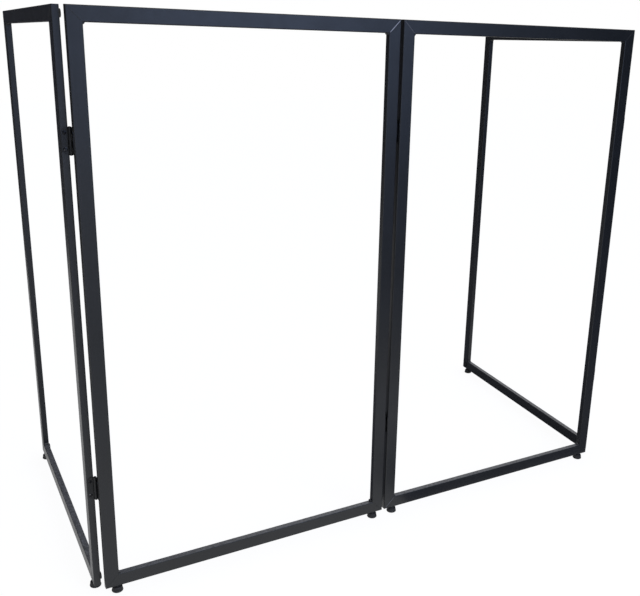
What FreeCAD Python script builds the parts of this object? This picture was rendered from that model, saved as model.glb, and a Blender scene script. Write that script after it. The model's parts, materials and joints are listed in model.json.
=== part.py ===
import FreeCAD, Part
import math
import os

# Folding booth front of four equal panels: two in front and one wing at each side.
# Millimetres. +X runs along the front, to the right as the audience sees it, +Y runs back
# towards the performer, and +Z is up. The origin is on the floor, in the middle of the
# whole booth's outline.

# One panel, four lengths of rectangular steel tube mitred and welded at the corners
panel_width = 708.0
panel_height = 1220.0
tube_face = 30.0
tube_depth = 15.0
tube_wall = 1.5
tube_edge_radius = 2.0
weld_leg = 4.5

# Butt hinges with rolled knuckles, screwed to the stiles' end faces
hinge_height = 52.0
hinge_from_panel_end = 243.5
hinge_setback = 2.25
leaf_thickness = 1.1
leaf_front_margin = 1.5
leaf_corner_radius = 11.0
knuckle_count = 4
knuckle_end_clearance = 0.3
knuckle_notch_clearance = 0.5
pin_diameter = 5.0
pin_running_clearance = 0.05
pin_head_diameter = 6.8
pin_head_height = 1.0

# Raised countersunk screws that hold the leaves
screw_spacing = 31.5
screw_diameter = 4.0
screw_head_diameter = 8.0
screw_head_rise = 0.6
screw_length = 12.0
screw_tip_length = 2.0
screw_hole_clearance = 0.2
recess_width = 1.0
recess_span = 4.6
recess_depth = 1.2

# Levelling feet: a moulded pad on a steel stud, in a threaded insert in the bottom rail
foot_from_panel_end = 26.0
foot_pad_diameter = 25.0
foot_pad_height = 14.0
foot_pad_bevel = 1.6
foot_pad_straight = 3.4
foot_pad_top_diameter = 21.5
foot_collar_diameter = 13.0
foot_collar_height = 2.0
foot_stud_diameter = 6.0
foot_stud_in_pad = 8.0
foot_stud_top_clearance = 6.0
foot_stud_chamfer = 0.6
insert_barrel_diameter = 9.0
insert_barrel_length = 12.0
insert_flange_diameter = 11.0
insert_flange_height = 1.0
thread_clearance = 0.05

# Round rubber bumpers at the corners of the wings' back faces
bumper_diameter = 16.0
bumper_round = 1.0
bumper_clearance = 0.5

# Fold of each joint as the booth stands, in degrees from straight, positive towards the back
left_wing_fold_angle = 90.5
centre_fold_angle = -0.4
right_wing_fold_angle = 84.8

# Worked out from the sizes above. A screw's countersunk head is as deep as the leaf is thick.
screw_head_depth = leaf_thickness
knuckle_diameter = pin_diameter + 2 * leaf_thickness
panel_gap = knuckle_diameter
panel_pitch = panel_width + panel_gap
hinge_depth = tube_depth + hinge_setback
foot_height = foot_pad_height + insert_flange_height
bumper_height = 2 * hinge_setback - bumper_clearance
hinge_levels = {"lower": hinge_from_panel_end, "upper": panel_height - hinge_from_panel_end}

# Where each panel's left end lies while the four stand in one straight line
panel_starts = {
    "left_wing": -panel_pitch,
    "front_left": 0.0,
    "front_right": panel_pitch,
    "right_wing": 2 * panel_pitch,
}
# Where each fold's axis lies on that line, and the panels at its left and right
fold_axes = {
    "left_wing_fold": -panel_gap / 2,
    "centre_fold": panel_pitch - panel_gap / 2,
    "right_wing_fold": 2 * panel_pitch - panel_gap / 2,
}
fold_panels = {
    "left_wing_fold": ("left_wing", "front_left"),
    "centre_fold": ("front_left", "front_right"),
    "right_wing_fold": ("front_right", "right_wing"),
}

UP = FreeCAD.Vector(0, 0, 1)
RIGHT = FreeCAD.Vector(1, 0, 0)
BACK = FreeCAD.Vector(0, 1, 0)


def edges_along(solid, direction):
    """The straight edges of a solid that run along a direction."""
    found = []
    for edge in solid.Edges:
        run = edge.Vertexes[-1].Point - edge.Vertexes[0].Point
        if abs(abs(run.dot(direction)) - run.Length) < 1e-6:
            found.append(edge)
    return found


def rounded_bar(size, corner, direction, radius):
    """A box whose four edges along a direction are rounded."""
    bar = Part.makeBox(size.x, size.y, size.z, corner)
    return bar.makeFillet(radius, edges_along(bar, direction))


def hollow_tube(size, direction):
    """Rectangular tube that fills a box standing on the origin, open at both ends."""
    origin = FreeCAD.Vector(0, 0, 0)
    outside = rounded_bar(size, origin, direction, tube_edge_radius)
    across = FreeCAD.Vector(1, 1, 1) - direction
    inner_size = size - across * (2 * tube_wall)
    inside = rounded_bar(inner_size, across * tube_wall, direction, tube_edge_radius - tube_wall)
    return outside.cut(inside)


def flat_prism(points, front, back):
    """A prism of straight sides, drawn on X and Z, between two depths."""
    corners = [FreeCAD.Vector(x, front, z) for x, z in points]
    outline = Part.makePolygon(corners + corners[:1])
    return Part.Face(outline).extrude(BACK * (back - front))


def turned(points, arcs=()):
    """A solid of revolution about +Z from (radius, height) points.

    A leg whose number is in arcs bulges outwards as an arc through the given middle point.
    """
    spots = [FreeCAD.Vector(r, 0, h) for r, h in points]
    bulges = dict(arcs)
    sides = []
    for number, start in enumerate(spots):
        end = spots[(number + 1) % len(spots)]
        if number in bulges:
            r, h = bulges[number]
            sides.append(Part.Arc(start, FreeCAD.Vector(r, 0, h), end).toShape())
        else:
            sides.append(Part.LineSegment(start, end).toShape())
    return Part.Face(Part.Wire(sides)).revolve(FreeCAD.Vector(0, 0, 0), UP, 360)


def mirrored_in_panel(solid):
    """The same piece at the panel's other end."""
    return solid.mirror(FreeCAD.Vector(panel_width / 2, 0, 0), RIGHT)


def upside_down_in_panel(solid):
    """The same piece at the panel's other edge, top for bottom."""
    return solid.mirror(FreeCAD.Vector(0, 0, panel_height / 2), UP)


def corner_weld():
    """The weld that fills the inner corner at the panel's lower left, hollow like a fillet."""
    low = tube_face
    high = tube_face + weld_leg
    waist = tube_face + weld_leg * (1 - math.sqrt(0.5))
    corner = FreeCAD.Vector(low, tube_edge_radius, low)
    along_rail = FreeCAD.Vector(high, tube_edge_radius, low)
    up_stile = FreeCAD.Vector(low, tube_edge_radius, high)
    middle = FreeCAD.Vector(waist, tube_edge_radius, waist)
    sides = [
        Part.LineSegment(corner, along_rail).toShape(),
        Part.Arc(along_rail, middle, up_stile).toShape(),
        Part.LineSegment(up_stile, corner).toShape(),
    ]
    return Part.Face(Part.Wire(sides)).extrude(BACK * (tube_depth - 2 * tube_edge_radius))


def foot_spots():
    """The middles of the panel's two feet, along the panel."""
    return {"left": foot_from_panel_end, "right": panel_width - foot_from_panel_end}


def rail_with_welds():
    """A bottom rail, mitred at both ends, with the welds of its two inner corners."""
    tube = hollow_tube(FreeCAD.Vector(panel_width, tube_depth, tube_face), RIGHT)
    mitre = [(0, 0), (panel_width, 0), (panel_width - tube_face, tube_face), (tube_face, tube_face)]
    rail = tube.common(flat_prism(mitre, 0, tube_depth))
    weld = corner_weld()
    return rail.fuse([weld, mirrored_in_panel(weld)])


def bottom_rail():
    """The bottom rail, with a hole in its lower wall for each threaded insert."""
    rail = rail_with_welds()
    for spot in foot_spots().values():
        middle = FreeCAD.Vector(spot, tube_depth / 2, -tube_wall)
        rail = rail.cut(Part.makeCylinder(insert_barrel_diameter / 2, 3 * tube_wall, middle, UP))
    return rail


def top_rail():
    """The top rail is a rail turned over."""
    return upside_down_in_panel(rail_with_welds())


def left_stile(drilled):
    """The left stile, mitred at both ends, with screw holes where hinges sit on its end face."""
    tube = hollow_tube(FreeCAD.Vector(tube_face, tube_depth, panel_height), UP)
    top = panel_height
    mitre = [(0, 0), (tube_face, tube_face), (tube_face, top - tube_face), (0, top)]
    stile = tube.common(flat_prism(mitre, 0, tube_depth))
    if not drilled:
        return stile
    for level in hinge_levels.values():
        for side in (-1, 1):
            height = level + side * screw_spacing / 2
            start = FreeCAD.Vector(-tube_wall, tube_depth / 2, height)
            stile = stile.cut(Part.makeCylinder(screw_diameter / 2, 3 * tube_wall, start, RIGHT))
    return stile


def threaded_insert(spot):
    """The flanged insert that takes a foot's stud, set in the bottom rail's lower wall."""
    bore = foot_stud_diameter / 2 + thread_clearance
    flange = insert_flange_diameter / 2
    barrel = insert_barrel_diameter / 2
    outline = [
        (bore, -insert_flange_height),
        (flange, -insert_flange_height),
        (flange, 0),
        (barrel, 0),
        (barrel, insert_barrel_length),
        (bore, insert_barrel_length),
    ]
    return turned(outline).translate(FreeCAD.Vector(spot, tube_depth / 2, 0))


def foot_pad(spot):
    """The moulded pad that stands on the floor, with a collar that meets the insert."""
    wide = foot_pad_diameter / 2
    top = foot_pad_top_diameter / 2
    collar = foot_collar_diameter / 2
    socket = foot_stud_diameter / 2
    shoulder = foot_pad_height - foot_collar_height
    outline = [
        (0, 0),
        (wide - foot_pad_bevel, 0),
        (wide, foot_pad_bevel),
        (wide, foot_pad_bevel + foot_pad_straight),
        (top, shoulder - foot_pad_bevel),
        (top - foot_pad_bevel, shoulder),
        (collar, shoulder),
        (collar, foot_pad_height),
        (socket, foot_pad_height),
        (socket, foot_pad_height - foot_stud_in_pad),
        (0, foot_pad_height - foot_stud_in_pad),
    ]
    return turned(outline).translate(FreeCAD.Vector(spot, tube_depth / 2, -foot_height))


def foot_stud(spot):
    """The steel stud, moulded into the pad and screwed up through the insert."""
    radius = foot_stud_diameter / 2
    bottom = foot_pad_height - foot_stud_in_pad - foot_height
    top = tube_face - tube_wall - foot_stud_top_clearance
    outline = [
        (0, bottom),
        (radius, bottom),
        (radius, top - foot_stud_chamfer),
        (radius - foot_stud_chamfer, top),
        (0, top),
    ]
    return turned(outline).translate(FreeCAD.Vector(spot, tube_depth / 2, 0))


def bumper():
    """A round rubber bumper on the back face, at the panel's lower left corner."""
    radius = bumper_diameter / 2
    bend = bumper_round * (1 - math.sqrt(0.5))
    outline = [
        (0, 0),
        (radius, 0),
        (radius, bumper_height - bumper_round),
        (radius - bumper_round, bumper_height),
        (0, bumper_height),
    ]
    disc = turned(outline, [(2, (radius - bend, bumper_height - bend))])
    disc.rotate(FreeCAD.Vector(0, 0, 0), RIGHT, -90)
    return disc.translate(FreeCAD.Vector(tube_face / 2, tube_depth, tube_face / 2))


def screw():
    """A raised countersunk screw with a cross recess, its head's rim at the origin, facing +Z."""
    head = screw_head_diameter / 2
    shank = screw_diameter / 2
    curve = (head ** 2 + screw_head_rise ** 2) / (2 * screw_head_rise)
    half_way = math.sqrt(curve ** 2 - (head / 2) ** 2) - (curve - screw_head_rise)
    outline = [
        (0, -screw_length),
        (shank, screw_tip_length - screw_length),
        (shank, -screw_head_depth),
        (head, 0),
        (0, screw_head_rise),
    ]
    body = turned(outline, [(3, (head / 2, half_way))])
    floor_level = screw_head_rise - recess_depth
    for size in ((recess_span, recess_width), (recess_width, recess_span)):
        corner = FreeCAD.Vector(-size[0] / 2, -size[1] / 2, floor_level)
        body = body.cut(Part.makeBox(size[0], size[1], 2 * recess_depth, corner))
    return body


def leaf_screw_spots():
    """A leaf's two screws: depth and height from the hinge's middle."""
    depth = -hinge_setback - tube_depth / 2
    return [(depth, side * screw_spacing / 2) for side in (-1, 1)]


def knuckle_rows(side):
    """The heights of the knuckles of one leaf. The right leaf has the top one."""
    length = hinge_height / knuckle_count
    rows = []
    for number in range(knuckle_count):
        from_top = knuckle_count - 1 - number
        owner = 1 if from_top % 2 == 0 else -1
        if owner == side:
            low = -hinge_height / 2 + number * length
            rows.append((low, low + length))
    return rows


def hinge_leaf(side):
    """One leaf about the pin's axis: side -1 sits on the left panel and 1 on the right one."""
    outer = knuckle_diameter / 2
    face = side * panel_gap / 2
    inner_face = face - side * leaf_thickness
    free_edge = leaf_front_margin - tube_depth - hinge_setback
    low_corner = FreeCAD.Vector(min(face, inner_face), free_edge, -hinge_height / 2)
    leaf = Part.makeBox(leaf_thickness, -free_edge, hinge_height, low_corner)
    corners = [e for e in edges_along(leaf, RIGHT) if abs(e.CenterOfMass.y - free_edge) < 1e-6]
    leaf = leaf.makeFillet(leaf_corner_radius, corners)
    half_gap = knuckle_end_clearance / 2
    for low, high in knuckle_rows(side):
        start = FreeCAD.Vector(0, 0, low)
        leaf = leaf.fuse(Part.makeCylinder(outer, high - low, start, UP))
    bore = pin_diameter / 2
    if side < 0:
        bore += pin_running_clearance
    start = FreeCAD.Vector(0, 0, -hinge_height)
    leaf = leaf.cut(Part.makeCylinder(bore, 2 * hinge_height, start, UP))
    notch = outer + knuckle_notch_clearance
    for low, high in knuckle_rows(-side):
        bottom = low - half_gap
        corner = FreeCAD.Vector(-2 * outer, -notch, bottom)
        block = Part.makeBox(4 * outer, 2 * notch, high - low + knuckle_end_clearance, corner)
        leaf = leaf.cut(block)
    for depth, height in leaf_screw_spots():
        place = FreeCAD.Vector(inner_face, depth, height)
        head = screw_head_diameter / 2
        shank = screw_diameter / 2
        into = RIGHT * side
        sink = Part.makeCone(head, shank, screw_head_depth, place, into)
        hole = Part.makeCylinder(shank + screw_hole_clearance, leaf_thickness, place, into)
        leaf = leaf.cut(sink.fuse(hole))
    return leaf.removeSplitter()


def leaf_screws(side):
    """The two screws of one leaf, about the pin's axis."""
    face = side * (panel_gap / 2 - leaf_thickness)
    pieces = []
    for depth, height in leaf_screw_spots():
        piece = screw()
        piece.rotate(FreeCAD.Vector(0, 0, 0), BACK, -90 * side)
        pieces.append(piece.translate(FreeCAD.Vector(face, depth, height)))
    return pieces


def hinge_pin():
    """The pin, a press fit in the right leaf, with a riveted head at each end."""
    shank = pin_diameter / 2
    head = pin_head_diameter / 2
    top = hinge_height / 2
    bottom = -hinge_height / 2 - knuckle_end_clearance
    outline = [
        (0, bottom - pin_head_height),
        (shank, bottom - pin_head_height),
        (head, bottom),
        (shank, bottom),
        (shank, top),
        (head, top),
        (shank, top + pin_head_height),
        (0, top + pin_head_height),
    ]
    return turned(outline)


def panel_frame(panel):
    """The welded frame, inserts and feet of one panel, with its left end at the origin."""
    drilled_left = any(right == panel for left, right in fold_panels.values())
    drilled_right = any(left == panel for left, right in fold_panels.values())
    pieces = {
        panel + "_top_rail": [top_rail()],
        panel + "_bottom_rail": [bottom_rail()],
        panel + "_left_stile": [left_stile(drilled_left)],
        panel + "_right_stile": [mirrored_in_panel(left_stile(drilled_right))],
        panel + "_foot_inserts": [threaded_insert(spot) for spot in foot_spots().values()],
    }
    for end, spot in foot_spots().items():
        pieces[panel + "_" + end + "_foot_pad"] = [foot_pad(spot)]
        pieces[panel + "_" + end + "_foot_stud"] = [foot_stud(spot)]
    if panel.endswith("wing"):
        low = bumper()
        row = [low, mirrored_in_panel(low)]
        pieces[panel + "_bumpers"] = row + [upside_down_in_panel(piece) for piece in row]
    return pieces


def hinge_pieces(fold):
    """The leaves, pins and screws of one fold's two hinges, by the panel that carries them."""
    left, right = fold_panels[fold]
    hinge = fold.replace("_fold", "_hinge")
    carried = {left: {}, right: {}}
    carried[left][left + "_hinge_screws"] = []
    carried[right][right + "_hinge_screws"] = []
    carried[right][hinge + "_pins"] = []
    for level, height in hinge_levels.items():
        place = FreeCAD.Vector(fold_axes[fold], hinge_depth, height)
        for panel, side in ((left, -1), (right, 1)):
            leaf = hinge_leaf(side).translate(place)
            end = "left" if side < 0 else "right"
            carried[panel][hinge + "_" + level + "_" + end + "_leaf"] = [leaf]
            screws = [piece.translate(place) for piece in leaf_screws(side)]
            carried[panel][panel + "_hinge_screws"] += screws
        carried[right][hinge + "_pins"].append(hinge_pin().translate(place))
    return carried


def straight_booth():
    """Every piece by panel, with the four panels in one straight line."""
    booth = {}
    for panel, start in panel_starts.items():
        booth[panel] = panel_frame(panel)
        for solids in booth[panel].values():
            for solid in solids:
                solid.translate(RIGHT * start)
    for fold in fold_panels:
        for panel, pieces in hinge_pieces(fold).items():
            for node, solids in pieces.items():
                booth[panel].setdefault(node, []).extend(solids)
    return booth


def axis_base(fold):
    """A point on a fold's axis while the booth is straight."""
    return FreeCAD.Vector(fold_axes[fold], hinge_depth, 0)


def turn_about(point, base, angle):
    """A point turned about an upright axis, by an angle in degrees."""
    turn = FreeCAD.Rotation(UP, angle)
    return base + turn.multVec(point - base)


def fold_booth(booth):
    """Turns the panels from the straight line to the folds in which the booth stands."""
    turns = [
        (("left_wing",), "left_wing_fold", -left_wing_fold_angle),
        (("right_wing",), "right_wing_fold", right_wing_fold_angle),
        (("front_right", "right_wing"), "centre_fold", centre_fold_angle),
    ]
    for panels, fold, angle in turns:
        for panel in panels:
            for solids in booth[panel].values():
                for solid in solids:
                    solid.rotate(axis_base(fold), UP, angle)


def outline_middle(booth):
    """The middle of the folded booth's outline on the floor."""
    box = FreeCAD.BoundBox()
    for pieces in booth.values():
        for solids in pieces.values():
            for solid in solids:
                box.add(solid.optimalBoundingBox(False, False))
    return FreeCAD.Vector(box.Center.x, box.Center.y, 0)


booth = straight_booth()
fold_booth(booth)
to_floor_middle = UP * foot_height - outline_middle(booth)

# Each fold's axis as the booth stands
standing_axes = {
    "left_wing_fold": axis_base("left_wing_fold") + to_floor_middle,
    "centre_fold": axis_base("centre_fold") + to_floor_middle,
    "right_wing_fold": turn_about(
        axis_base("right_wing_fold"), axis_base("centre_fold"), centre_fold_angle
    )
    + to_floor_middle,
}

for fold, axis in standing_axes.items():
    print(fold, "axis at x", round(axis.x, 3), "y", round(axis.y, 3))

os.makedirs("parts", exist_ok=True)
for panel, pieces in booth.items():
    for node, solids in pieces.items():
        for solid in solids:
            solid.translate(to_floor_middle)
        group = solids[0] if len(solids) == 1 else Part.makeCompound(solids)
        group.exportStep("parts/" + node + ".step")
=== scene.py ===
# %% [markdown]
# # A folding booth front in black steel
#
# The object is four welded frames of rectangular steel tube, hinged in a row. Two stand side
# by side and the outer two are turned back as wings. The construction comes in ready made,
# with every tube, hinge leaf, pin, screw and foot as its own piece at its real size. This
# script dresses it: paint, rubber and plated steel, weld beads, moulded feet and threads.

import json
import math

import bmesh
import bpy
from mathutils import Matrix, Vector

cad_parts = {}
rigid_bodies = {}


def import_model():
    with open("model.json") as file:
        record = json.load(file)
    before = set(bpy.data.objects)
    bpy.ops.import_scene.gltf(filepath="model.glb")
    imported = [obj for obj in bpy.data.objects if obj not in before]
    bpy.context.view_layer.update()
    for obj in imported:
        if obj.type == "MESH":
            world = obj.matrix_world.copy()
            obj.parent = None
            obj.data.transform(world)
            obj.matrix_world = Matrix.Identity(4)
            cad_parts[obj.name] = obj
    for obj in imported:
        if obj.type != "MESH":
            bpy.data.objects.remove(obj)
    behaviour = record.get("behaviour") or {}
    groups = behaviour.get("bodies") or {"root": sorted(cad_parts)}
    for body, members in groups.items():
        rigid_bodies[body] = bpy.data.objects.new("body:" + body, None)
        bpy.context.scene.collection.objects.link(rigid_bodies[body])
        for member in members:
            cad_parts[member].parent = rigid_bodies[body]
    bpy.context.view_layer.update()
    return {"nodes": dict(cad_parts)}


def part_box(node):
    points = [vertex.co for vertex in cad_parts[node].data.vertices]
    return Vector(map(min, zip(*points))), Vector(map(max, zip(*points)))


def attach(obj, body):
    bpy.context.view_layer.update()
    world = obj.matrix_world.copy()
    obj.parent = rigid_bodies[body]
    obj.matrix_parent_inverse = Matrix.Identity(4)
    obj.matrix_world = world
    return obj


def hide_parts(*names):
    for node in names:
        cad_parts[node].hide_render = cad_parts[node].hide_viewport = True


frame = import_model()
nodes = frame["nodes"]

# %% [markdown]
# ## Helpers for colour and nodes
#
# A hex colour is how a paint chart gives a colour, but shaders want linear light, so one
# function turns the first into the second. Another adds a shader node, sets its values and
# links it, which keeps each material short enough to read in one go.

# %% Colour and node helpers
MM = 0.001


def linear(hex_colour, alpha=1.0):
    """An sRGB hex colour such as "#202124" as linear red, green, blue and alpha."""
    parts = [int(hex_colour[i:i + 2], 16) / 255 for i in (1, 3, 5)]
    curve = [c / 12.92 if c <= 0.04045 else ((c + 0.055) / 1.055) ** 2.4 for c in parts]
    return (*curve, alpha)


def add_node(tree, kind, settings=None, **links):
    """A shader node with its settings and links.

    A setting's key is an attribute's name or an input socket's name. A link's key is an
    input's name with _ for a space, and its value is an output socket.
    """
    node = tree.nodes.new(kind)
    for key, value in (settings or {}).items():
        if key in node.inputs:
            node.inputs[key].default_value = value
        else:
            setattr(node, key, value)
    for key, output in links.items():
        tree.links.new(output, node.inputs[key.replace("_", " ")])
    return node


def new_material(name):
    """An empty node material, with its tree and its output node."""
    material = bpy.data.materials.new(name)
    material.use_nodes = True
    tree = material.node_tree
    tree.nodes.clear()
    return material, tree, tree.nodes.new("ShaderNodeOutputMaterial")


def ramp(tree, factor, stops):
    """A colour ramp through (position, hex colour) stops."""
    node = add_node(tree, "ShaderNodeValToRGB", Fac=factor)
    while len(node.color_ramp.elements) < len(stops):
        node.color_ramp.elements.new(0.5)
    for element, (position, colour) in zip(node.color_ramp.elements, stops):
        element.position = position
        element.color = linear(colour)
    return node.outputs["Color"]


def spread(tree, factor, low, high, start=0.0, end=1.0):
    """A factor from start to end, clamped and turned to a value from low to high."""
    settings = {"From Min": start, "From Max": end, "To Min": low, "To Max": high}
    return add_node(tree, "ShaderNodeMapRange", settings, Value=factor).outputs["Result"]


# %% [markdown]
# ## Powder-coated steel
#
# The tubes are mild steel with a baked black powder coat. The powder melts into a skin a
# tenth of a millimetre thick with a faint orange-peel ripple, about a millimetre from crest
# to crest, so reflections break up softly. Colour varies a little over a panel. Faces that
# point up are paler in patches, partly from dust and partly as painted light, where the tops
# catch the lamps. All of it is made from noise on object coordinates and the slope of a face,
# so it stays put on the piece when the booth folds. Some mitre seams carry a painted
# highlight: a pale line in the colour of bare steel, where light catches the seam. The weld
# beads carry its strength as a value on their points. A piece without the value reads it as
# nought, so one material serves all.

# %% Powder coat
RIPPLE_MM = 1.1
GRAIN_MM = 0.35
SHADE_MM = 180.0
# Size of the paler patches on upward faces, which are partly dust and partly painted top light.
DUST_AND_TOP_LIGHT_MM = 9.0
SHEEN_MM = 30.0
RIPPLE_DEPTH_MM = 0.12
GRAIN_DEPTH_MM = 0.06
# How steep a face may be, and how pale its patches get: partly dust, partly painted top light.
DUST_AND_TOP_LIGHT_SLOPE = 0.6
DUST_AND_TOP_LIGHT_THINNEST = 0.15
DUST_AND_TOP_LIGHT_THICKEST = 0.55
SHEEN_SMOOTHER = 0.05
SHEEN_ROUGHER = 0.06
# Colour of the painted highlight on some seams, pale like bare steel.
SEAM_HIGHLIGHT_COLOUR = "#b2b3bc"


def noise(tree, place, size_mm, detail=2.0, output="Fac"):
    """Noise whose blobs are about size_mm across."""
    settings = {"Scale": 1 / (size_mm * MM), "Detail": detail}
    return add_node(tree, "ShaderNodeTexNoise", settings, Vector=place).outputs[output]


def powder_coat(name, dark, light, dust_and_top_light, roughness, specular):
    """Black powder coat on steel: a soft sheen over a slightly rippled skin."""
    material, tree, out = new_material(name)
    place = add_node(tree, "ShaderNodeTexCoord").outputs["Object"]
    shade = ramp(tree, noise(tree, place, SHADE_MM, 3.0), [(0.35, dark), (0.65, light)])

    # Faces that point up turn paler in patches: partly dust, partly painted light on the tops.
    facing = add_node(tree, "ShaderNodeNewGeometry").outputs["Normal"]
    upward = add_node(tree, "ShaderNodeSeparateXYZ", Vector=facing).outputs["Z"]
    lying = spread(tree, upward, 0.0, 1.0, DUST_AND_TOP_LIGHT_SLOPE, 1.0)
    clouds = noise(tree, place, DUST_AND_TOP_LIGHT_MM, 6.0)
    patchy = spread(tree, clouds, DUST_AND_TOP_LIGHT_THINNEST, DUST_AND_TOP_LIGHT_THICKEST, 0.3, 0.75)
    dust_and_top_light_share = add_node(tree, "ShaderNodeMath", {"operation": "MULTIPLY"})
    tree.links.new(lying, dust_and_top_light_share.inputs[0])
    tree.links.new(patchy, dust_and_top_light_share.inputs[1])
    colour = add_node(tree, "ShaderNodeMix", {"data_type": "RGBA"})
    tree.links.new(dust_and_top_light_share.outputs[0], colour.inputs["Factor"])
    tree.links.new(shade, colour.inputs[6])
    colour.inputs[7].default_value = linear(dust_and_top_light)
    # Painted highlight: seams with the value on their points turn pale, as if light caught them.
    seam_highlight = add_node(tree, "ShaderNodeAttribute", {"attribute_name": "painted_seam_highlight"}).outputs["Fac"]
    with_seam_highlight = add_node(tree, "ShaderNodeMix", {"data_type": "RGBA"})
    tree.links.new(seam_highlight, with_seam_highlight.inputs["Factor"])
    tree.links.new(colour.outputs[2], with_seam_highlight.inputs[6])
    with_seam_highlight.inputs[7].default_value = linear(SEAM_HIGHLIGHT_COLOUR)

    ripple = noise(tree, place, RIPPLE_MM, 1.0)
    grain = noise(tree, place, GRAIN_MM, 2.0)
    sheen = noise(tree, place, SHEEN_MM, 4.0)
    rough = spread(tree, sheen, roughness - SHEEN_SMOOTHER, roughness + SHEEN_ROUGHER)
    fine = {"Strength": 0.25, "Distance": GRAIN_DEPTH_MM * MM}
    bump = add_node(tree, "ShaderNodeBump", fine, Height=grain)
    skin = add_node(
        tree,
        "ShaderNodeBump",
        {"Strength": 0.3, "Distance": RIPPLE_DEPTH_MM * MM},
        Height=ripple,
        Normal=bump.outputs["Normal"],
    )
    surface = add_node(
        tree,
        "ShaderNodeBsdfPrincipled",
        {"IOR": 1.5, "Specular IOR Level": specular},
        Base_Color=with_seam_highlight.outputs[2],
        Roughness=rough,
        Normal=skin.outputs["Normal"],
    )
    tree.links.new(surface.outputs["BSDF"], out.inputs["Surface"])
    return material


# The third colour makes upward faces paler: partly dust, partly painted light on the tops.
tube_coat = powder_coat("powder_coated_steel_tube", "#101214", "#15171a", "#8a8a8c", 0.42, 0.45)
hinge_coat = powder_coat("painted_steel_hinge_leaf", "#0c0d0e", "#131416", "#4a4a4c", 0.36, 0.3)
print("coatings:", tube_coat.name, hinge_coat.name)

# %% [markdown]
# ## Plated and blackened steel
#
# Screws and pins are steel with a thin black oxide, so they stay metallic: the reflection is
# dark, and the oxide rubs through to bright steel where a screwdriver or a finger works it.
# The studs and inserts are zinc plated, which gives a pale, slightly blotchy grey.

# %% Steel finishes
SCRATCH_MM = 0.25
SCRATCH_DEPTH_MM = 0.03
WORN_FADE = 0.12


def plated_steel(name, base, worn, wear, roughness, blotch_mm):
    """Metal under a thin finish, rubbed through in small patches."""
    material, tree, out = new_material(name)
    place = add_node(tree, "ShaderNodeTexCoord").outputs["Object"]
    blotches = noise(tree, place, blotch_mm, 5.0)
    colour = ramp(tree, blotches, [(1 - wear - WORN_FADE, base), (1 - wear + WORN_FADE, worn)])
    rough = spread(tree, noise(tree, place, blotch_mm / 2, 4.0), roughness - 0.08, roughness + 0.1)
    scratches = noise(tree, place, SCRATCH_MM, 3.0)
    shallow = {"Strength": 0.2, "Distance": SCRATCH_DEPTH_MM * MM}
    bump = add_node(tree, "ShaderNodeBump", shallow, Height=scratches)
    surface = add_node(
        tree,
        "ShaderNodeBsdfPrincipled",
        {"Metallic": 1.0},
        Base_Color=colour,
        Roughness=rough,
        Normal=bump.outputs["Normal"],
    )
    tree.links.new(surface.outputs["BSDF"], out.inputs["Surface"])
    return material


black_oxide = plated_steel("black_oxide_screw_steel", "#1d1d1f", "#7a7a7a", 0.34, 0.36, 2.2)
pin_steel = plated_steel("black_oxide_hinge_pin", "#19191b", "#565657", 0.3, 0.36, 3.0)
zinc = plated_steel("zinc_plated_steel", "#9b9b97", "#c2c2bd", 0.5, 0.38, 2.5)
print("steels:", black_oxide.name, pin_steel.name, zinc.name)

# %% [markdown]
# ## Moulded rubber
#
# Feet and bumpers are injection-moulded black rubber. It is matt, a touch lighter than the
# paint, and its mould leaves a fine pitting. Scuffs at floor level turn it grey.

# %% Rubber
SCUFF_MM = 4.0
PIT_DEPTH_MM = 0.05


def moulded_rubber(name, dark, light, pit_mm):
    """Matt black rubber with a fine pitted skin and pale scuffs."""
    material, tree, out = new_material(name)
    place = add_node(tree, "ShaderNodeTexCoord").outputs["Object"]
    scuffs = noise(tree, place, SCUFF_MM, 6.0)
    colour = ramp(tree, scuffs, [(0.45, dark), (0.8, light)])
    rough = spread(tree, scuffs, 0.55, 0.8)
    pits = noise(tree, place, pit_mm, 2.0)
    pitting = {"Strength": 0.35, "Distance": PIT_DEPTH_MM * MM}
    bump = add_node(tree, "ShaderNodeBump", pitting, Height=pits)
    surface = add_node(
        tree,
        "ShaderNodeBsdfPrincipled",
        {"IOR": 1.5, "Specular IOR Level": 0.35},
        Base_Color=colour,
        Roughness=rough,
        Normal=bump.outputs["Normal"],
    )
    tree.links.new(surface.outputs["BSDF"], out.inputs["Surface"])
    return material


foot_rubber = moulded_rubber("moulded_foot_rubber", "#1e1e1f", "#404041", 0.5)
bumper_rubber = moulded_rubber("moulded_bumper_rubber", "#1a1a1b", "#2c2c2d", 0.4)
print("rubbers:", foot_rubber.name, bumper_rubber.name)

# %% [markdown]
# ## Finishes on the ready-made pieces
#
# Most pieces already have their true shape, so they only need a material in their slot. The
# last word of a node's name says what kind of piece it is.

# %% Assign finishes
FINISH_OF = {
    "rail": tube_coat,
    "stile": tube_coat,
    "leaf": hinge_coat,
    "pins": pin_steel,
    "screws": black_oxide,
    "inserts": zinc,
    "stud": zinc,
    "pad": foot_rubber,
    "bumpers": bumper_rubber,
}
for name, piece in nodes.items():
    finish = FINISH_OF[name.rsplit("_", 1)[1]]
    for material_slot in piece.material_slots:
        material_slot.material = finish
print("finished nodes:", len(nodes))

# %% [markdown]
# ## Where each panel stands
#
# New pieces have to land on panels that stand at four different angles. A panel's two feet
# give its direction, whatever the fold: a matrix built on them turns a place in the panel
# (along it, back from its front face, up from its lower edge) to a place in the world.

# %% Panel placement
PANELS = ("left_wing", "front_left", "front_right", "right_wing")


def middle(node):
    """The middle of a node's box."""
    low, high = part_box(node)
    return (low + high) / 2


def panel_size():
    """A panel's width, depth and height and its tubes' broad side, read on the squarest one."""
    low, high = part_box("front_left_left_stile")
    rail_low, rail_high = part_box("front_left_bottom_rail")
    return rail_high.x - rail_low.x, high.y - low.y, high.z - low.z, high.x - low.x


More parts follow.
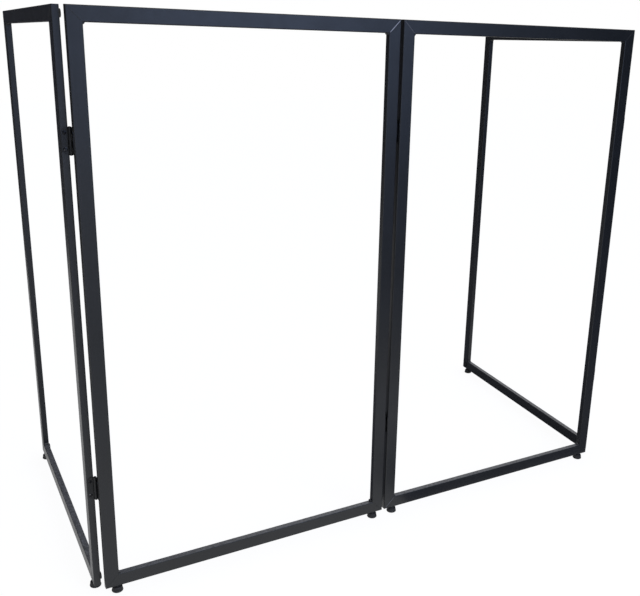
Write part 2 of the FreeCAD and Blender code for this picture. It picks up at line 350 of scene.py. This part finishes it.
panel_width, tube_depth, panel_height, tube_face = panel_size()
frame_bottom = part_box("front_left_left_stile")[0].z
foot_inset = middle("front_left_left_foot_pad").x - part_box("front_left_bottom_rail")[0].x


def panel_place(panel):
    """The matrix that takes a place in the panel to a place in the world."""
    left = middle(panel + "_left_foot_pad")
    right = middle(panel + "_right_foot_pad")
    along = (right - left).normalized()
    back = Vector((-along.y, along.x, 0))
    corner = left - along * foot_inset - back * tube_depth / 2
    place = Matrix.Identity(4)
    for column, axis in enumerate((along, back, Vector((0, 0, 1)))):
        place.col[column] = (*axis, 0)
    place.col[3] = (corner.x, corner.y, frame_bottom, 1)
    return place


print("panel in mm:", [round(v / MM, 1) for v in (panel_width, tube_depth, panel_height, tube_face)])

# %% [markdown]
# ## Finishing a bmesh
#
# Every new piece ends the same way: doubles merged, faces turned outwards, smooth shading
# with sharp corners kept, a material, a body to ride on and the slot it takes its finish
# from.

# %% Piece helpers
SHARP = math.radians(38)
MERGE_MM = 0.0005


def finish_piece(bm, name, material, body, replaced=()):
    """Turns a bmesh into an object that rides on a body, in place of the nodes in replaced."""
    bmesh.ops.remove_doubles(bm, verts=bm.verts, dist=MERGE_MM * MM)
    bmesh.ops.recalc_face_normals(bm, faces=bm.faces)
    for face in bm.faces:
        face.smooth = True
    for edge in bm.edges:
        if len(edge.link_faces) == 2 and edge.calc_face_angle() > SHARP:
            edge.smooth = False
    mesh = bpy.data.meshes.new(name)
    bm.to_mesh(mesh)
    bm.free()
    piece = bpy.data.objects.new(name, mesh)
    bpy.context.scene.collection.objects.link(piece)
    piece.data.materials.append(material)
    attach(piece, body)
    if replaced:
        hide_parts(*replaced)
    return piece


def turned(bm, outline, steps):
    """Spins an open outline of (radius, height) points in mm, which ends on the axis, about Z."""
    verts = [bm.verts.new((r * MM, 0, h * MM)) for r, h in outline]
    edges = [bm.edges.new(pair) for pair in zip(verts, verts[1:])]
    bmesh.ops.spin(
        bm,
        geom=verts + edges,
        cent=(0, 0, 0),
        axis=(0, 0, 1),
        angle=math.tau,
        steps=steps,
        use_merge=True,
    )
    bmesh.ops.remove_doubles(bm, verts=bm.verts, dist=MERGE_MM * MM)


# %% [markdown]
# ## Weld beads
#
# The tube ends are mitred and welded. On the front and back the weld is ground nearly flush,
# and shows through the paint as a thin ridge on the diagonal. In the inner corners it stays
# as it was laid: a short flat bead, with a ripple for each drop of metal. In three corners
# the welder heaped it, and it stands further out. Both kinds are one shape, a rippled rod
# pointed at its ends, spun from a sine-edged outline and then flattened. A sculpted
# displacement would also work, but a spun outline keeps every ripple at its real pitch and
# the mesh small. Three seams carry a painted highlight: a pale line where light catches the
# seam on the real object.
# A corner is its panel's name, then 1 if it is at the right end and 1 if it is at the top.

# %% Weld beads
BEAD_HALF_WIDTH = 3.2
BEAD_HALF_HEIGHT = 1.1
BEAD_SINK = 1.85
BEAD_RIPPLE = 0.3
BEAD_PITCH = 2.2
BEAD_HEAP = 1.3
BEAD_SHORTER_THAN_TUBE = 2.6
BEAD_STEPS = 20
BEAD_TAPER = 0.35
POINTS_PER_RIPPLE = 5
LEAST_POINTS = 12
HEAPED_CORNERS = (("front_left", 1, 0), ("right_wing", 0, 0), ("left_wing", 1, 1))
SEAM_HALF_WIDTH = 0.9
SEAM_RISE = 0.45
SEAM_RIPPLE = 0.06
SEAM_PITCH = 1.6
SEAM_FROM_OUTER_CORNER = 2.2
SEAM_FROM_INNER_CORNER = 3.0
# How strong the painted highlight is on three seams, where light catches the mitre.
PAINTED_SEAM_HIGHLIGHTS = {("front_left", 1, 1): 0.8, ("front_right", 0, 1): 0.16, ("front_right", 0, 0): 0.2}


def bead(bm, place, length, radius, ripple, pitch, flatten, seam_highlight=0.0):
    """A rippled weld bead along Z at a place, flattened along its own Y.

    The last argument is the strength of a painted highlight on the bead, from 0 for none to 1 for the full
    pale colour of bare steel.
    """
    points = max(LEAST_POINTS, round(length / pitch * POINTS_PER_RIPPLE))
    outline = []
    for step in range(points + 1):
        share = step / points
        swell = math.sin(math.pi * share) ** BEAD_TAPER
        wave = ripple * math.cos(math.tau * share * length / pitch)
        reach = max(0.0, (radius + wave) * swell) if 0 < step < points else 0.0
        outline.append((reach, (share - 0.5) * length))
    one = bmesh.new()
    turned(one, outline, BEAD_STEPS)
    bmesh.ops.scale(one, vec=(1, flatten, 1), verts=one.verts)
    bmesh.ops.transform(one, matrix=place, verts=one.verts)
    # Each point of the bead carries the strength of its painted highlight.
    highlight_layer = one.verts.layers.float.new("painted_seam_highlight")
    for vert in one.verts:
        vert[highlight_layer] = seam_highlight
    carrier = bpy.data.meshes.new("bead")
    one.to_mesh(carrier)
    one.free()
    bm.from_mesh(carrier)
    bpy.data.meshes.remove(carrier)


def corner_beads(bm, heaped, seam_highlight):
    """The beads of a panel's lower left corner, in the panel's own frame."""
    face = tube_face / MM
    depth = tube_depth / MM
    tucked = (face + BEAD_SINK + heaped) * MM
    lying = Matrix.Rotation(math.pi / 4, 4, "Y") @ Matrix.Rotation(math.pi / 2, 4, "X")
    inner = Matrix.Translation((tucked, tube_depth / 2, tucked)) @ lying
    flatness = BEAD_HALF_HEIGHT / BEAD_HALF_WIDTH
    laid = depth - BEAD_SHORTER_THAN_TUBE
    bead(bm, inner, laid, BEAD_HALF_WIDTH, BEAD_RIPPLE, BEAD_PITCH, flatness)
    start = SEAM_FROM_OUTER_CORNER
    end = face - SEAM_FROM_INNER_CORNER / 2
    length = (end - start) * math.sqrt(2)
    centre = (start + end) / 2 * MM
    flatness = SEAM_RISE / SEAM_HALF_WIDTH
    for level in (0.0, tube_depth):
        diagonal = Matrix.Translation((centre, level, centre)) @ Matrix.Rotation(math.pi / 4, 4, "Y")
        bead(bm, diagonal, length, SEAM_HALF_WIDTH, SEAM_RIPPLE, SEAM_PITCH, flatness, seam_highlight)


def corner_mesh(heaped, seam_highlight):
    """One corner's beads as a mesh."""
    corner = bmesh.new()
    corner.verts.layers.float.new("painted_seam_highlight")
    corner_beads(corner, heaped, seam_highlight)
    mesh = bpy.data.meshes.new("corner")
    corner.to_mesh(mesh)
    corner.free()
    return mesh


for panel in PANELS:
    beads = bmesh.new()
    beads.verts.layers.float.new("painted_seam_highlight")
    for flip_x, flip_z in ((0, 0), (1, 0), (0, 1), (1, 1)):
        corner = (panel, flip_x, flip_z)
        heap = BEAD_HEAP if corner in HEAPED_CORNERS else 0.0
        mesh = corner_mesh(heap, PAINTED_SEAM_HIGHLIGHTS.get(corner, 0.0))
        before = set(beads.verts)
        beads.from_mesh(mesh)
        bpy.data.meshes.remove(mesh)
        fresh = [v for v in beads.verts if v not in before]
        mirror = Matrix.Diagonal((-1 if flip_x else 1, 1, -1 if flip_z else 1, 1))
        shift = Matrix.Translation((panel_width * flip_x, 0, panel_height * flip_z))
        bmesh.ops.transform(beads, matrix=panel_place(panel) @ shift @ mirror, verts=fresh)
    piece = finish_piece(beads, panel + "_weld_beads", tube_coat, panel + "_panel")
    # The strongest painted seam highlight on the panel.
    strongest_seam_highlight = max(value.value for value in piece.data.attributes["painted_seam_highlight"].data)
    print(piece.name, "faces:", len(piece.data.polygons), "painted seam highlight up to:", round(strongest_seam_highlight, 2))

# %% [markdown]
# ## Levelling feet
#
# Each foot is a rubber pad moulded round a threaded stud. The pad is a turned shape: a flat
# sole, a rolled edge, a short wall, a small moulding step, a nearly straight skirt, a flat
# top with a narrow collar, and a blind socket for the stud. Spinning the outline and
# bevelling its corners gives the soft edges that a mould leaves.

# %% Foot pads
PAD_ROUNDING = 0.7
PAD_CORNER = math.radians(20)
PAD_STEPS = 64
SOLE_EDGE = 1.2
WALL_TOP = 3.0
STEP_TOP = 3.5
STEP_IN = 0.5
SKIRT_FROM = 5.0
SKIRT_IN = 0.8
SKIRT_TO_BELOW_TOP = 3.2
SKIRT_TOP_IN = 1.5
SHOULDER_IN = 2.6
COLLAR_TALL = 2.0
COLLAR_RADIUS = 6.5
SOCKET_RADIUS = 3.0
SOCKET_DEEP = 4.0


def pad_outline():
    """The pad's outline as (radius, height) in mm, from the sole's middle to the socket."""
    low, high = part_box("front_left_left_foot_pad")
    wide = (high.x - low.x) / 2 / MM
    tall = (high.z - low.z) / MM
    return [
        (0, 0),
        (wide - SOLE_EDGE, 0),
        (wide, SOLE_EDGE),
        (wide, WALL_TOP),
        (wide - STEP_IN, STEP_TOP),
        (wide - SKIRT_IN, SKIRT_FROM),
        (wide - SKIRT_TOP_IN, tall - SKIRT_TO_BELOW_TOP),
        (wide - SHOULDER_IN, tall - COLLAR_TALL),
        (COLLAR_RADIUS, tall - COLLAR_TALL),
        (COLLAR_RADIUS, tall),
        (SOCKET_RADIUS, tall),
        (SOCKET_RADIUS, tall - SOCKET_DEEP),
        (0, tall - SOCKET_DEEP),
    ]


def foot_pad(foot):
    """A moulded pad in place of the plain one."""
    bm = bmesh.new()
    turned(bm, pad_outline(), PAD_STEPS)
    rims = [e for e in bm.edges if len(e.link_faces) == 2 and e.calc_face_angle() > PAD_CORNER]
    bmesh.ops.bevel(
        bm,
        geom=rims,
        offset=PAD_ROUNDING * MM,
        offset_type="OFFSET",
        segments=3,
        profile=0.5,
        affect="EDGES",
        clamp_overlap=True,
        material=-1,
    )
    spot = middle(foot + "_pad")
    spot.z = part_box(foot + "_pad")[0].z
    bmesh.ops.translate(bm, vec=spot, verts=bm.verts)
    return finish_piece(bm, foot + "_moulded_pad", foot_rubber, foot, [foot + "_pad"])


FEET = [panel + "_" + end + "_foot" for panel in PANELS for end in ("left", "right")]
pads = [foot_pad(foot) for foot in FEET]
print("moulded pads:", len(pads), "with", len(pads[0].data.polygons), "faces each")

# %% [markdown]
# ## Threads
#
# The stud's thread shows when a foot is screwed out. A thread is a zigzag edge carried round
# the axis while it climbs one pitch per turn. Spin does just that when it is given a small
# lift per step: the zigzag meets itself one tooth higher after a full turn. The rod is made
# too long and then sliced off square at both ends.

# %% Threaded studs
THREAD_PITCH = 1.0
THREAD_DEPTH = 0.55
THREAD_STEPS = 28
THREAD_MERGE_MM = 0.005
SPARE_TEETH = 4
SPARE_TURNS_BELOW = 2.5


def threaded_rod(radius, bottom, top):
    """A helical thread about Z between two heights in metres."""
    bm = bmesh.new()
    pitch = THREAD_PITCH * MM
    teeth = math.ceil((top - bottom) / pitch) + SPARE_TEETH
    start = bottom - SPARE_TURNS_BELOW * pitch
    root = radius - THREAD_DEPTH * MM
    chain = []
    for tooth in range(teeth):
        chain.append(bm.verts.new((root, 0, start + tooth * pitch)))
        chain.append(bm.verts.new((radius, 0, start + (tooth + 0.5) * pitch)))
    chain.append(bm.verts.new((root, 0, start + teeth * pitch)))
    edges = [bm.edges.new(pair) for pair in zip(chain, chain[1:])]
    bmesh.ops.spin(
        bm,
        geom=chain + edges,
        cent=(0, 0, 0),
        axis=(0, 0, 1),
        dvec=(0, 0, pitch / THREAD_STEPS),
        angle=math.tau,
        steps=THREAD_STEPS,
    )
    bmesh.ops.remove_doubles(bm, verts=bm.verts, dist=THREAD_MERGE_MM * MM)
    for height, outward in ((bottom, -1), (top, 1)):
        everything = list(bm.verts) + list(bm.edges) + list(bm.faces)
        bmesh.ops.bisect_plane(
            bm,
            geom=everything,
            plane_co=(0, 0, height),
            plane_no=(0, 0, outward),
            clear_outer=True,
        )
        rim = [e for e in bm.edges if e.is_boundary and all(abs(v.co.z - height) < 1e-6 for v in e.verts)]
        bmesh.ops.holes_fill(bm, edges=rim)
    return bm


def stud(foot):
    """A threaded stud in place of the plain one."""
    low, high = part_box(foot + "_stud")
    bm = threaded_rod((high.x - low.x) / 2, low.z, high.z)
    centre = (low + high) / 2
    bmesh.ops.translate(bm, vec=(centre.x, centre.y, 0), verts=bm.verts)
    return finish_piece(bm, foot + "_threaded_stud", zinc, foot, [foot + "_stud"])


studs = [stud(foot) for foot in FEET]
print("threaded studs:", len(studs), "with", len(studs[0].data.polygons), "faces each")

# %% [markdown]
# ## Floor, background and light
#
# The picture has a white surround. The floor and the world are white for the camera and for
# reflections, while the light on the object stays at a plain level: a small soft lamp low at
# the front left, a large cool one in front like a window, and an even, slightly cool
# surround. The floor also keeps part of its shading, so the booth has a soft shadow to
# stand on.

# %% Floor and world
FLOOR_HALF = 14.0
FLOOR_GLOW = 0.925
FLOOR_SHADED = "#6c6c6c"
FLOOR_PLAIN = "#d8d8d8"
SURROUND_LEVEL = 0.55
SURROUND_COLOUR = "#eef2ff"


def seen_directly(tree):
    """1 for camera, reflection and transmission rays, and 0 for light that falls on things."""
    rays = add_node(tree, "ShaderNodeLightPath").outputs
    total = rays["Is Camera Ray"]
    for name in ("Is Glossy Ray", "Is Transmission Ray"):
        joined = add_node(tree, "ShaderNodeMath", {"operation": "MAXIMUM"})
        tree.links.new(total, joined.inputs[0])
        tree.links.new(rays[name], joined.inputs[1])
        total = joined.outputs[0]
    return total


def pale_floor():
    """Floor paint: white to the eye, with a part of its shading kept for the shadow."""
    material, tree, out = new_material("pale_floor_paint")
    shaded = add_node(tree, "ShaderNodeBsdfDiffuse", {"Color": linear(FLOOR_SHADED)})
    glow = add_node(tree, "ShaderNodeEmission", {"Strength": FLOOR_GLOW})
    both = add_node(tree, "ShaderNodeAddShader")
    tree.links.new(shaded.outputs[0], both.inputs[0])
    tree.links.new(glow.outputs[0], both.inputs[1])
    plain = add_node(tree, "ShaderNodeBsdfDiffuse", {"Color": linear(FLOOR_PLAIN)})
    choice = add_node(tree, "ShaderNodeMixShader", Fac=seen_directly(tree))
    tree.links.new(plain.outputs[0], choice.inputs[1])
    tree.links.new(both.outputs[0], choice.inputs[2])
    tree.links.new(choice.outputs[0], out.inputs["Surface"])
    return material


floor_bm = bmesh.new()
bmesh.ops.create_grid(floor_bm, x_segments=2, y_segments=2, size=FLOOR_HALF)
floor_mesh = bpy.data.meshes.new("floor")
floor_bm.to_mesh(floor_mesh)
floor_bm.free()
floor = bpy.data.objects.new("floor", floor_mesh)
bpy.context.scene.collection.objects.link(floor)
floor.data.materials.append(pale_floor())

world = bpy.data.worlds.new("white_surround")
world.use_nodes = True
world.node_tree.nodes.clear()
sky = world.node_tree
even = add_node(sky, "ShaderNodeBackground", {"Color": linear(SURROUND_COLOUR), "Strength": SURROUND_LEVEL})
white = add_node(sky, "ShaderNodeBackground", {"Color": linear("#ffffff"), "Strength": 1.0})
pick = add_node(sky, "ShaderNodeMixShader", Fac=seen_directly(sky))
sky.links.new(even.outputs[0], pick.inputs[1])
sky.links.new(white.outputs[0], pick.inputs[2])
sky.links.new(pick.outputs[0], add_node(sky, "ShaderNodeOutputWorld").inputs["Surface"])
bpy.context.scene.world = world

# %% [markdown]
# A lamp is aimed by turning its -Z towards the point it should light. Area lamps are used
# because their size sets how soft the shadows and the highlights along the tubes are.

# %% Lamps


def soft_lamp(name, place, target, size, power, colour):
    """A rectangular soft lamp at a place, turned towards a target."""
    data = bpy.data.lights.new(name, "AREA")
    data.shape = "RECTANGLE"
    data.size, data.size_y = size
    data.energy = power
    data.color = linear(colour)[:3]
    lamp = bpy.data.objects.new(name, data)
    lamp.location = place
    lamp.rotation_euler = (Vector(target) - Vector(place)).to_track_quat("-Z", "Y").to_euler()
    lamp.visible_camera = False
    bpy.context.scene.collection.objects.link(lamp)
    return lamp


soft_lamp("key_lamp", (-1.0, -2.3, 0.4), (-0.5, -0.3, 0.2), (1.1, 0.6), 5.0, "#ffffff")
soft_lamp("window_lamp", (0.78, -3.2, 1.6), (-0.2, -0.3, 1.1), (1.6, 1.2), 33.0, "#bcd2ff")

# %% [markdown]
# A black object takes much of its look from what it mirrors. Photographers stand dark cards,
# called flags, outside the picture and lay cloth on the floor, so that a glossy black face
# doesn't mirror white all over. Here a grey card stands behind on the left, dark ones stand
# on the left and in front on the right, and a pale blue one stands behind the camera, which
# gives the upper rails their cool sheen. Grey cloths lie where the lower rails mirror the
# floor. All of them only show as reflections: the camera doesn't see them from any side, and
# they take no light away.

# %% Reflection cards
CARD_TOP = 3.2
CARD_OFF_FLOOR = 0.004


def card(name, colour, corners):
    """A flat card through its corners, seen only in reflections."""
    bm = bmesh.new()
    bm.faces.new([bm.verts.new(place) for place in corners])
    mesh = bpy.data.meshes.new(name)
    bm.to_mesh(mesh)
    bm.free()
    piece = bpy.data.objects.new(name, mesh)
    bpy.context.scene.collection.objects.link(piece)
    material, tree, out = new_material(name + "_paper")
    paper = add_node(tree, "ShaderNodeBsdfDiffuse", {"Color": linear(colour)})
    tree.links.new(paper.outputs[0], out.inputs["Surface"])
    piece.data.materials.append(material)
    piece.visible_camera = False
    piece.visible_diffuse = False
    piece.visible_shadow = False


def standing_card(name, colour, start, end):
    """A card that stands upright between two points on the floor."""
    feet = [(*start, 0.0), (*end, 0.0)]
    card(name, colour, feet + [(x, y, CARD_TOP) for x, y, z in reversed(feet)])


def lying_card(name, colour, low, high):
    """A card that lies just above the floor."""
    around = ((low[0], low[1]), (high[0], low[1]), (high[0], high[1]), (low[0], high[1]))
    card(name, colour, [(x, y, CARD_OFF_FLOOR) for x, y in around])


standing_card("card_behind", "#646468", (-4.5, 1.6), (0.6, 2.9))
standing_card("card_on_the_left", "#1c1c1d", (-4.6, -4.7), (-4.6, 1.5))
standing_card("card_front_right", "#1c1c1d", (1.45, -3.83), (4.2, -0.4))
standing_card("card_front_blue", "#c3d2ec", (-4.0, -4.8), (1.9, -4.8))
lying_card("cloth_in_front", "#88888b", (-2.0, -4.8), (0.9, -1.4))
lying_card("cloth_on_the_right", "#8c8c8e", (0.9, -4.8), (5.0, -0.62))
lying_card("cloth_by_the_rail", "#b0b0b2", (0.05, -0.62), (5.0, -0.375))
lying_card("cloth_in_the_bay", "#a2a2a4", (-0.72, -0.3), (0.78, 2.8))
staged = [o.name for o in bpy.context.scene.objects if o.name.startswith(("card", "cloth"))]
print("reflection cards:", staged)

# %% [markdown]
# ## Camera
#
# The photo's camera was worked out from the straight edges of the four panels. It stands at
# the front left, a little below the booth's top edge, and looks down by about 17 degrees. A
# small lens shift stands for the photo's crop.

# %% Camera
IMAGE_WIDTH = 640
IMAGE_HEIGHT = 596
SENSOR_MM = 36.0
FOCAL_PX = 819.64
AXIS_PX = (360.37, 287.14)
CAMERA_PLACE = (-1.04339, -1.95866, 1.18261)
CAMERA_YAW = -29.955
CAMERA_PITCH = -16.577
CAMERA_ROLL = 1.66

camera_data = bpy.data.cameras.new("camera")
camera_data.sensor_width = SENSOR_MM
camera_data.lens = FOCAL_PX / IMAGE_WIDTH * SENSOR_MM
camera_data.shift_x = (IMAGE_WIDTH / 2 - AXIS_PX[0]) / IMAGE_WIDTH
camera_data.shift_y = (AXIS_PX[1] - IMAGE_HEIGHT / 2) / IMAGE_WIDTH
camera = bpy.data.objects.new("camera", camera_data)
turn = Matrix.Rotation(math.radians(CAMERA_YAW), 4, "Z")
tilt = Matrix.Rotation(math.radians(90 + CAMERA_PITCH), 4, "X")
roll = Matrix.Rotation(math.radians(CAMERA_ROLL), 4, "Z")
camera.matrix_world = Matrix.Translation(CAMERA_PLACE) @ turn @ tilt @ roll
bpy.context.scene.collection.objects.link(camera)
bpy.context.scene.camera = camera
bpy.context.scene.view_settings.view_transform = "Standard"
print("camera lens in mm:", round(camera_data.lens, 2))
